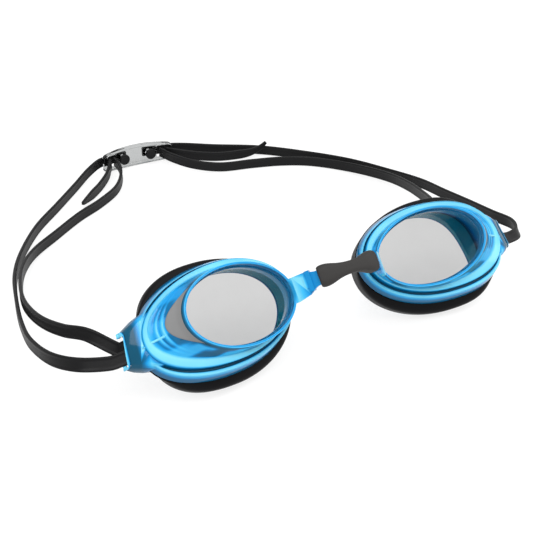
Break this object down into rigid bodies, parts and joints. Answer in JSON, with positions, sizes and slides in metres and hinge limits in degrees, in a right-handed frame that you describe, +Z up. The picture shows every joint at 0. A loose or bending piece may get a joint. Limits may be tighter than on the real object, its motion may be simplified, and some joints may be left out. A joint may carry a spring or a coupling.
{
  "type": "swim goggles",
  "caption": "Swim goggles with soft-sealed eyecups, flexible nose bridge, split rubber head strap and clear rear clip.",
  "frame": {"origin": "middle of the whole object's footprint, on the surface it lies on", "axes": "+Z up from the surface, +X towards the wearer's left, +Y from the goggles back to the rear clip"},
  "size_m": [0.2018, 0.1956, 0.0384],
  "materials": {
    "frame": "clear tinted polycarbonate, polished",
    "front_lens": "clear grey polycarbonate, polished",
    "side_lens": "clear grey polycarbonate, polished",
    "gasket": "soft satin silicone",
    "strap": "matte silicone",
    "bridge": "matte elastomer",
    "clip": "clear polycarbonate"
  },
  "bodies": {
    "bridge_and_strap": {"nose_bridge": "bridge", "rear_clip": "clip", "right_outer_strand": "strap", "right_inner_strand": "strap", "left_outer_strand": "strap", "left_inner_strand": "strap"},
    "right_eyecup": {"right_frame": "frame", "right_front_lens": "front_lens", "right_side_lens": "side_lens", "right_gasket": "gasket", "right_strap_loop": "strap"},
    "left_eyecup": {"left_frame": "frame", "left_front_lens": "front_lens", "left_side_lens": "side_lens", "left_gasket": "gasket", "left_strap_loop": "strap"},
    "right_tail": {"right_strap_tail": "strap"},
    "left_tail": {"left_strap_tail": "strap"}
  },
  "joints": [
    {"name": "right_eyecup_flex", "type": "hinge", "parent": "bridge_and_strap", "child": "right_eyecup", "pos_m": [-0.01128, -0.09048, 0.03048], "axis": [0, -0.6494, -0.7604], "range_deg": [-6, 10], "stiffness_Nm_per_rad": 0.06, "deforming": ["right_outer_strand", "right_inner_strand"]},
    {"name": "left_eyecup_flex", "type": "hinge", "parent": "bridge_and_strap", "child": "left_eyecup", "pos_m": [0.00772, -0.09048, 0.03048], "axis": [0, 0.6494, 0.7604], "range_deg": [-6, 10], "stiffness_Nm_per_rad": 0.06, "deforming": ["left_outer_strand", "left_inner_strand"]},
    {"name": "right_tail_slide", "type": "slide", "parent": "bridge_and_strap", "child": "right_tail", "axis": [-0.72, -0.694, 0], "range_m": [0, 0.008]},
    {"name": "left_tail_slide", "type": "slide", "parent": "bridge_and_strap", "child": "left_tail", "axis": [0.88, -0.475, 0], "range_m": [0, 0.01]}
  ]
}
